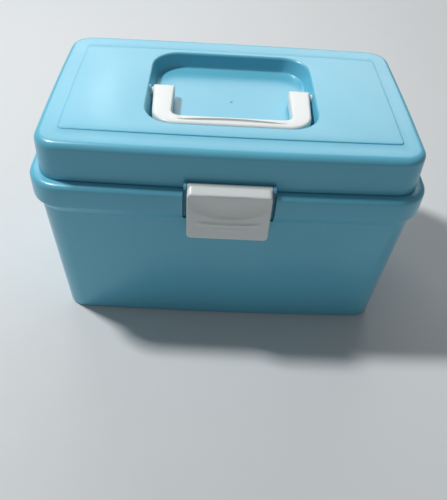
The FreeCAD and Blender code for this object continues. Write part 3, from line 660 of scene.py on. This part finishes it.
def lid_rings():
    """Rings from the well's floor, over the panel, down the skirt and back under to the well's underside."""
    plan, lid = settings().plan, settings().lid
    panel_x, panel_y = plan.half_x - lid.panel_end, plan.half_y - lid.panel_side
    well_bow, panel_top = lid.panel_bow / 4, lid.top + lid.panel_rise

    def well(grow, height, end_slope=0.0, side_slope=0.0):
        """The well's outline, drawn in where its walls have leaned."""
        outline = bowed_outline(
            lid.well_x - end_slope,
            lid.well_y - side_slope,
            lid.well_corner - side_slope,
            well_bow,
            plan.end_bow / 4,
            grow,
            lid.well_shift,
        )
        return level_ring(outline, height)

    def well_base(grow, height):
        """The well's outline at its floor."""
        return well(grow, height, lid.well_end_slope, lid.well_side_slope)

    def panel(grow, height):
        """The raised panel's outline."""
        outline = bowed_outline(
            panel_x, panel_y, lid.panel_corner, lid.panel_bow, plan.end_bow / 2, grow, lid.panel_shift
        )
        return level_ring(outline, height)

    floor_edge = well_base(0, lid.well_floor)
    mouth = well(0, panel_top)
    rings = [well_base(-2.2 * MM, lid.well_floor), well_base(-0.9 * MM, lid.well_floor + 0.1 * MM)]
    floor_fillet = ((0.05, 0.35), (0.12, 0.08), (0.25, 0.0), (0.6, 0.0), (0.82, 0.0), (0.9, 0.05))
    rim_round = ((0.2, 0.62), (0.5, 0.28), (0.95, 0.06), (1.5, 0.0))
    panel_step = ((-0.9, 0.0), (-0.35, 0.07), (-0.06, 0.22), (0.0, 0.4), (0.02, 0.56), (0.25, 0.6))
    for share, inward in floor_fillet:
        ring = between(floor_edge, mouth, share)
        centre = Vector((0, lid.well_shift, 0))
        for spot in ring:
            flat = (spot - centre).to_2d().normalized()
            spot.x -= flat.x * inward * MM
            spot.y -= flat.y * inward * MM
        rings.append(ring)
    for grow, drop in rim_round:
        rings.append(well(grow * MM, panel_top - drop * MM))
    for grow, drop in panel_step:
        rings.append(panel(grow * MM, panel_top - drop * MM))
    inside_top, under_well = lid.top - lid.wall, lid.well_floor - lid.wall
    margin_in, ceiling_in, outer_lip, inner_lip = 3 * MM, 6 * MM, 0.5 * MM, 0.4 * MM
    skirt = rounded_path([
        (-lid.draft - lid.round - margin_in, lid.top, 0),
        (-lid.draft, lid.top, lid.round),
        (0, lid.low, outer_lip),
        (-lid.wall, lid.low, inner_lip),
        (-lid.wall - lid.draft, inside_top, lid.round - lid.wall),
        (-lid.wall - lid.draft - ceiling_in, inside_top, 0),
    ], steps=9)
    rings += [level_ring(lid_outline(out), up) for out, up in skirt]
    rings.append(well(lid.wall + 2.5 * MM, inside_top))
    rings.append(well(lid.wall + 0.4 * MM, inside_top - 0.6 * MM))
    rings.append(well_base(lid.wall, under_well + 1.5 * MM))
    rings.append(well_base(lid.wall - 0.5 * MM, under_well + 0.4 * MM))
    rings.append(well_base(lid.wall - 1.6 * MM, under_well))
    return rings


def socket_bosses():
    """The two bosses under the lid's skin, each a tube that takes a stub pin of the handle."""
    lid, handle = settings().lid, settings().handle
    wall, overlap, past_stub = 1.7 * MM, 0.9 * MM, 2.5 * MM
    hole = handle.stub + SOCKET_CLEAR
    outer = hole + wall
    start, stop = lid.well_x - overlap, handle.half_width + handle.stub_length + past_stub
    pieces = []
    for side in (-1, 1):
        stations = [(side * start, hole), (side * start, outer), (side * stop, outer), (side * stop, hole)]
        rings = turned(stations, (handle.pivot_y, handle.pivot_z))
        pieces.append(skin("boss", rings, closed=True))
    return pieces


def socket_cutter(side):
    """The block that opens the well's end wall for a stub pin."""
    lid, handle = settings().lid, settings().handle
    inside, outside = 12 * MM, 3 * MM
    hole = handle.stub + SOCKET_CLEAR
    stations = [(side * (lid.well_x - inside), hole), (side * (lid.well_x + outside), hole)]
    return skin("socket_cutter", turned(stations, (handle.pivot_y, handle.pivot_z)))


def gate_mark():
    """The small round mark that the moulding gate leaves in the middle of the well."""
    lid = settings().lid
    profile = ((1.25, -0.4), (1.25, 0.12), (1.05, 0.28), (0.45, 0.3), (0.3, 0.16))
    rings = []
    for radius, rise in profile:
        outline = [
            (radius * MM * math.cos(turn), lid.well_shift + radius * MM * math.sin(turn))
            for turn in circle(24)
        ]
        rings.append(level_ring(outline, lid.well_floor + rise * MM))
    return skin("gate", rings)


def locating_corners(side, apex, clear):
    """Side outline of a tab that hangs from the lid's skirt into the tub's mouth."""
    lid, plan = settings().lid, settings().plan
    root = apex - lid.wall / 2 - plan.side_bow / 2
    outer = apex - settings().tub.rim_inset - clear
    hang, root_rise, shoulder_rise = 4 * MM, 4 * MM, 2 * MM
    corners = [
        (root, lid.low + lid.wall / 2),
        (root, lid.low + root_rise),
        (outer - lid.wall, lid.low + shoulder_rise),
        (outer - lid.wall, lid.low - hang),
        (outer, lid.low - hang),
        (outer, lid.low + lid.wall / 2),
    ]
    return [(side * across, up) for across, up in corners]


def locating_tabs():
    """The four tabs that keep the lid in line with the tub."""
    plan = settings().plan
    half, front_place, end_start, end_stop = 10 * MM, 70 * MM, -30 * MM, -10 * MM
    front_clear, end_clear = 1.55 * MM, 1.0 * MM
    front = locating_corners(-1, plan.half_y + plan.side_bow, front_clear)
    pieces = [plate("tab", front, place - half, place + half) for place in (-front_place, front_place)]
    for side in (-1, 1):
        corners = locating_corners(side, plan.half_x + plan.end_bow, end_clear)
        pieces.append(plate("tab", corners, end_start, end_stop, axis="Y"))
    return pieces


def lid_hinge_arms():
    """The lid's two hinge arms with their knuckles."""
    plan, lid, tub = settings().plan, settings().lid, settings().tub
    root = plan.half_y + plan.side_bow / 2 - lid.wall / 2
    low, top, knuckle_side = lid.low + 1.1 * MM, tub.hinge_z + 3.6 * MM, tub.hinge_y - 1.9 * MM
    arm = [
        (root, low),
        (knuckle_side, low),
        (knuckle_side, tub.hinge_z + 3.4 * MM),
        (tub.hinge_y - 3.0 * MM, top),
        (root, top),
    ]
    half = tub.knuckle_length / 2
    pieces = []
    for side in (-1, 1):
        middle = side * tub.hinge_place
        pieces.append(plate("arm", arm, middle - half, middle + half))
        pieces.append(knuckle("knuckle", middle))
    return pieces


def latch_ears():
    """The two small ears on the lid that hold the latch pin."""
    latch = settings().latch
    turns = [math.pi / 2 + math.pi * step / 12 for step in range(13)]
    eye = [
        (-latch.pivot_y + latch.barrel * math.cos(turn), latch.pivot_z + latch.barrel * math.sin(turn))
        for turn in turns
    ]
    root, half_neck, gap, thick = 3.6 * MM, 1.5 * MM, 0.3 * MM, 2 * MM
    back = -latch.pivot_y + root
    corners = eye + [(back, latch.pivot_z - half_neck), (back, latch.pivot_z + half_neck)]
    inner = latch.half_width + gap
    outer = inner + thick
    return [plate("ear", corners, *sorted((side * inner, side * outer)), 0.3 * MM) for side in (-1, 1)]


class SEWINGBOX_OT_lid(bpy.types.Operator):
    """Build the lid with its panel, handle well, sockets, hinge arms, latch ears and locating tabs"""

    bl_idname = "sewing_box.lid"
    bl_label = "Lid"

    def execute(self, context):
        shell = skin("lid_shell_skin", lid_rings())
        for side in (-1, 1):
            cut_away(shell, socket_cutter(side))
        blue = finish_named("blue_plastic")
        finish_piece(shell, "lid", blue, ["lid_shell"])
        details = {
            "lid_socket_bosses": socket_bosses(),
            "lid_locating_tabs": locating_tabs(),
            "lid_hinge_arms": lid_hinge_arms(),
            "lid_latch_ears": latch_ears(),
            "lid_gate_mark": [gate_mark()],
        }
        for name, pieces in details.items():
            finish_piece(joined(name, pieces), "lid", blue)
        return {"FINISHED"}


# ---------------------------------------------------------------- handle


def bail_stations():
    """Inner and outer plan points along the bail, from the left pivot round the grip to the right one."""
    handle = settings().handle
    front = handle.pivot_y - handle.reach
    outer, tip = handle.half_width, handle.half_width - handle.taper
    inner = handle.half_width - handle.arm
    outer_path = rounded_path([
        (-outer, handle.pivot_y, 0),
        (-tip, front, handle.outer_round),
        (tip, front, handle.outer_round),
        (outer, handle.pivot_y, 0),
    ], steps=14)
    inner_path = rounded_path([
        (-inner, handle.pivot_y, 0),
        (-inner, front + handle.grip, handle.inner_round),
        (inner, front + handle.grip, handle.inner_round),
        (inner, handle.pivot_y, 0),
    ], steps=14)
    return thickened(outer_path), thickened(inner_path)


def thickened(path):
    """A bail path with extra points along its two arms and its grip."""
    arm, grip = 10, 26
    middle = len(path) // 2
    left = [path[0].lerp(path[1], step / arm) for step in range(arm)]
    centre = [path[middle - 1].lerp(path[middle], step / grip) for step in range(1, grip)]
    right = [path[-2].lerp(path[-1], step / arm) for step in range(1, arm + 1)]
    return left + path[1:middle] + centre + path[middle:-1] + right


def bail_section(inner, outer, low, high, edge, lens):
    """One closed section of the bail between an inner and an outer plan point, with its share of the groove."""
    dip = settings().handle.groove * min(1.0, 2.5 * lens)
    across = outer - inner
    width = across.length
    corners = []
    for out, up, start in (
        (width - edge, low + edge, -90),
        (width - edge, high - edge, 0),
        (edge, high - edge, 90),
        (edge, low + edge, 180),
    ):
        for step in range(5):
            turn = math.radians(start + 90 * step / 4)
            corners.append((out + edge * math.cos(turn), up + edge * math.sin(turn)))
        if start == 0:
            front, rear, lip = 0.60, 0.60 - 0.46 * lens, 0.05
            hollows = ((front + lip, 0), (front, 1), ((front + rear) / 2, 1), (rear, 1), (rear - lip, 0))
            for share, hollow in hollows:
                corners.append((edge + (width - 2 * edge) * share, high - dip * hollow))
    ring = []
    for out, up in corners:
        spot = inner + across * (out / width)
        ring.append(Vector((spot.x, spot.y, up)))
    return ring


def bail():
    """The bail's arms and grip, with a lens-shaped groove along the grip's top."""
    handle = settings().handle
    low, high = handle.pivot_z - handle.thick / 2, handle.pivot_z + handle.thick / 2
    outer_path, inner_path = bail_stations()
    rings = []
    groove_inset = 19 * MM
    reach = handle.half_width - groove_inset
    for inner, outer in zip(inner_path, outer_path):
        middle = (inner + outer) / 2
        on_grip = middle.y < handle.pivot_y - handle.reach + handle.grip
        lens = max(0.0, 1 - (middle.x / reach) ** 2) if on_grip else 0.0
        rings.append(bail_section(inner, outer, low, high, handle.edge, lens))
    return skin("bail", rings)


def bail_ends():
    """The rounded eyes at the arms' ends, each with a collar and a tapered stub pin."""
    handle = settings().handle
    radius, rim = handle.thick / 2, 0.8 * MM
    inner = handle.half_width - handle.arm
    pieces = []
    for side in (-1, 1):
        stations = [
            (inner + 0.1 * MM, radius - rim - 0.6 * MM),
            (inner + 0.2 * MM, radius - rim),
            (inner + rim / 2, radius - rim / 3),
            (inner + rim + 0.2 * MM, radius),
            (handle.half_width - rim, radius),
            (handle.half_width - rim / 3, radius - rim / 3),
            (handle.half_width, radius - rim),
            (handle.half_width + 0.1 * MM, handle.stub + 0.5 * MM),
            (handle.half_width + 0.5 * MM, handle.stub),
            (handle.half_width + handle.stub_length - 0.6 * MM, handle.stub - 0.15 * MM),
            (handle.half_width + handle.stub_length, handle.stub - 0.7 * MM),
        ]
        placed = [(side * place, size) for place, size in stations]
        pieces.append(skin("eye", turned(placed, (handle.pivot_y, handle.pivot_z))))
    return pieces


class SEWINGBOX_OT_handle(bpy.types.Operator):
    """Build the folding bail handle"""

    bl_idname = "sewing_box.handle"
    bl_label = "Handle"

    def execute(self, context):
        handle = joined("carry_handle_bail", [bail(), *bail_ends()])
        finish_piece(handle, "handle", finish_named("white_plastic"), ["carry_handle"])
        return {"FINISHED"}


# ---------------------------------------------------------------- latch


def latch_face(x, z):
    """How far the latch's front face stands back or forward at a place: a scoop, then a curved ridge."""
    latch = settings().latch
    across = x / latch.half_width
    top = latch.pivot_z + latch.barrel - latch.top_fall
    above = latch.scoop_low + latch.scoop_rise * across**2
    share = min(1.0, max(0.0, (z - above) / (top - latch.scoop_low)))
    scoop = math.sin(math.pi * share) * (1 - share) * max(0.0, 1 - across**6)

    def ridge_at(line, reach, power):
        """Height of a ridge that fades out towards its ends."""
        fade = max(0.0, 1 - (across / reach) ** power)
        return math.exp(-(((z - line) / latch.ridge_width) ** 2)) * fade

    sag, second_drop, second_height = 1.6 * MM, 4.4 * MM, 0.4
    ridge_line = latch.ridge_low + sag * across**2
    ridges = ridge_at(ridge_line, 0.8, 8) + second_height * ridge_at(ridge_line - second_drop, 0.5, 4)
    return latch.dish * scoop - latch.ridge * ridges


def flap_outline(half_x, low, high, corner, steps=8, side_steps=22):
    """A rounded rectangle in X and Z, as an even list of points."""
    corner = max(corner, 0.15 * MM)
    centres = [
        (half_x - corner, high - corner, 0),
        (-half_x + corner, high - corner, 90),
        (-half_x + corner, low + corner, 180),
        (half_x - corner, low + corner, 270),
    ]
    arcs = []
    for x, z, start in centres:
        turns = [math.radians(start + 90 * step / steps) for step in range(steps + 1)]
        arcs.append([(x + corner * math.cos(turn), z + corner * math.sin(turn)) for turn in turns])
    points = []
    for index, bend in enumerate(arcs):
        following = arcs[(index + 1) % 4][0]
        points += bend
        for step in range(1, side_steps):
            share = step / side_steps
            points.append((
                bend[-1][0] + (following[0] - bend[-1][0]) * share,
                bend[-1][1] + (following[1] - bend[-1][1]) * share,
            ))
    return points


def latch_rings():
    """Rings from the middle of the front face outward, back over the edges and into the hollow behind."""
    latch = settings().latch
    front = -latch.pivot_y - latch.reach
    top = latch.pivot_z + latch.barrel - latch.top_fall
    back = -latch.pivot_y - 0.4 * MM
    half_tall = (top - latch.low) / 2
    face_inset, middle_gap, inset_steps = 1.0 * MM, 0.4 * MM, 20
    deepest = half_tall - middle_gap
    rings = []
    for step in range(inset_steps, -1, -1):
        inset = face_inset + (deepest - face_inset) * step / inset_steps
        outline = flap_outline(
            latch.half_width - inset, latch.low + inset, top - inset, latch.corner - inset
        )
        rings.append([Vector((x, front + latch_face(x, z), z)) for x, z in outline])

    def side_ring(y, inset, rise, sag=0.0):
        """An upright ring of the flap at a depth, its foot raised by its sag."""
        outline = flap_outline(
            latch.half_width - inset, latch.low + inset + sag, top + rise - inset, latch.corner - inset
        )
        return [Vector((x, y, z)) for x, z in outline]

    slope = latch.top_fall / latch.reach
    for inset, behind in ((0.45, 0.12), (0.12, 0.45), (0.0, 1.0)):
        rings.append(side_ring(front + behind * MM, inset * MM, behind * MM * slope))
    cheek_foot = 14.8 * MM
    for y, sag in ((front + latch.wall, 0.0), (front + 5 * MM, 0.45 * cheek_foot), (back, cheek_foot)):
        rings.append(side_ring(y, 0.0, (y - front) * slope, sag))
    inner_back = side_ring(back, latch.wall, (back - front) * slope, cheek_foot)
    inner_front = side_ring(front + latch.wall + 0.3 * MM, latch.wall, 0.0)
    return rings + [inner_back, inner_front]


def latch_barrel():
    """The rolled rear edge that the latch turns on."""
    latch = settings().latch
    half, rim = latch.half_width, 0.5 * MM
    stations = [
        (-half, latch.barrel - rim - 0.5 * MM),
        (-half, latch.barrel - rim),
        (-half + rim, latch.barrel),
        (half - rim, latch.barrel),
        (half, latch.barrel - rim),
        (half, latch.barrel - rim - 0.5 * MM),
    ]
    return skin("barrel", turned(stations, (-latch.pivot_y, latch.pivot_z)))


def latch_hook():
    """The wedge behind the flap that hooks under the keeper."""
    latch, tub = settings().latch, settings().tub
    front = -latch.pivot_y - latch.reach
    root, face = front + 1.1 * MM, -tub.notch_back - 3.55 * MM
    top, bottom = tub.crease + 5 * MM, tub.crease - 3 * MM
    corners = [
        (root, top + 1 * MM),
        (face + 0.36 * MM, top),
        (face + 1.32 * MM, bottom),
        (root, bottom - 2 * MM),
    ]
    return plate("hook", corners, -HOOK_HALF, HOOK_HALF, 0.25 * MM)


class SEWINGBOX_OT_latch(bpy.types.Operator):
    """Build the front latch"""

    bl_idname = "sewing_box.latch"
    bl_label = "Latch"

    def execute(self, context):
        flap = joined("latch_hood", [skin("flap", latch_rings()), latch_barrel(), latch_hook()])
        finish_piece(flap, "latch", finish_named("white_plastic"), ["latch_flap"])
        return {"FINISHED"}


# ---------------------------------------------------------------- trays, dividers and pins


class SEWINGBOX_OT_trays(bpy.types.Operator):
    """Finish the trays"""

    bl_idname = "sewing_box.trays"
    bl_label = "Trays"

    def execute(self, context):
        for name in ("upper_tray", "lower_tray"):
            refinish(name, "tray_plastic")
        return {"FINISHED"}


class SEWINGBOX_OT_dividers(bpy.types.Operator):
    """Finish the loose dividers"""

    bl_idname = "sewing_box.dividers"
    bl_label = "Dividers"

    def execute(self, context):
        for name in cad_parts:
            if "_divider_" in name:
                refinish(name, "divider_plastic")
        return {"FINISHED"}


class SEWINGBOX_OT_pins(bpy.types.Operator):
    """Finish the steel pins"""

    bl_idname = "sewing_box.pins"
    bl_label = "Pins"

    def execute(self, context):
        for name in ("hinge_pin_left", "hinge_pin_right", "latch_pin"):
            refinish(name, "steel")
        return {"FINISHED"}


def refinish(name, slot):
    """Gives a node of the frame one of the box's materials."""
    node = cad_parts[name]
    material = finish_named(slot)
    if not node.material_slots:
        raise RuntimeError(f"{name} has no material slot")
    for place in node.material_slots:
        place.material = material


# ---------------------------------------------------------------- stage


def area_light(name, place, target, size, energy):
    """A soft white rectangular light that faces a target."""
    light = bpy.data.lights.new(name, "AREA")
    light.shape = "RECTANGLE"
    light.size, light.size_y = size
    light.energy = energy
    lamp = bpy.data.objects.new(name, light)
    lamp.location = place
    lamp.rotation_euler = (Vector(target) - Vector(place)).to_track_quat("-Z", "Y").to_euler()
    bpy.context.scene.collection.objects.link(lamp)


def studio_floor_plane():
    """A wide level floor under the box."""
    half = 4.0
    mesh = bpy.data.meshes.new("studio_floor")
    corners = [(-half, -half, 0), (half, -half, 0), (half, half, 0), (-half, half, 0)]
    mesh.from_pydata(corners, [], [(0, 1, 2, 3)])
    floor = new_piece("studio_floor", mesh)
    mesh.materials.append(studio_floor("studio_floor_finish", tuple(settings().colours.floor)))


def studio_sky(strength, tint):
    """Even soft light from all round."""
    world = bpy.data.worlds.new("studio_sky")
    world.use_nodes = True
    background = world.node_tree.nodes["Background"]
    background.inputs["Color"].default_value = (*tint, 1)
    background.inputs["Strength"].default_value = strength
    bpy.context.scene.world = world


def studio_camera():
    """A camera above the front, a little to the left and rolled slightly."""
    camera = bpy.data.cameras.new("studio_camera")
    camera.lens = 40.3
    camera.sensor_width = 36
    camera.clip_start = 0.02
    holder = bpy.data.objects.new("studio_camera", camera)
    place = Vector((-0.01486, -0.35993, 0.35543))
    right = Vector((0.99851, 0.00543, 0.05424))
    up = Vector((-0.04228, 0.70527, 0.70768))
    back = Vector((-0.03441, -0.70892, 0.70445))
    turn = Matrix((right, up, back)).transposed().to_4x4()
    holder.matrix_world = Matrix.Translation(place) @ turn
    bpy.context.scene.collection.objects.link(holder)
    bpy.context.scene.camera = holder


class SEWINGBOX_OT_stage(bpy.types.Operator):
    """Build the floor, the lights and the camera"""

    bl_idname = "sewing_box.stage"
    bl_label = "Stage"

    def execute(self, context):
        bpy.context.scene.view_settings.view_transform = "Standard"
        studio_floor_plane()
        studio_sky(0.19, (0.95, 0.985, 1.0))
        middle = (0, 0, 0.08)
        area_light("key_light", (-0.73, 0.22, 1.4), middle, (0.16, 0.16), 18)
        area_light("back_panel", (0.0, 2.0, 1.3), middle, (2.4, 1.0), 19)
        area_light("side_lamp", (-0.37, 1.26, 0.89), middle, (0.14, 0.14), 0.22)
        studio_camera()
        return {"FINISHED"}


class SEWINGBOX_PT_pieces(bpy.types.Panel):
    """The sewing box's operators, in the sidebar"""

    bl_idname = "SEWINGBOX_PT_pieces"
    bl_label = "Sewing Box"
    bl_space_type = "VIEW_3D"
    bl_region_type = "UI"
    bl_category = "Sewing Box"

    def draw(self, context):
        for operator in OPERATORS:
            self.layout.operator(operator.bl_idname)


OPERATORS = (
    SEWINGBOX_OT_stage,
    SEWINGBOX_OT_tub,
    SEWINGBOX_OT_lid,
    SEWINGBOX_OT_handle,
    SEWINGBOX_OT_latch,
    SEWINGBOX_OT_trays,
    SEWINGBOX_OT_dividers,
    SEWINGBOX_OT_pins,
)
GROUPS = (PlanSizes, TubSizes, LidSizes, HandleSizes, LatchSizes, BoxColours, BoxSettings)
CLASSES = (*GROUPS, *OPERATORS, SEWINGBOX_PT_pieces)


def register():
    """Adds the classes and the scene's settings."""
    for item in CLASSES:
        bpy.utils.register_class(item)
    bpy.types.Scene.sewing_box = bpy.props.PointerProperty(type=BoxSettings)


def unregister():
    """Removes the settings and the classes."""
    del bpy.types.Scene.sewing_box
    for item in reversed(CLASSES):
        bpy.utils.unregister_class(item)


def main():
    """Builds every piece in order."""
    register()
    for operator in OPERATORS:
        space, name = operator.bl_idname.split(".")
        getattr(getattr(bpy.ops, space), name)()


if __name__ == "__main__":
    main()
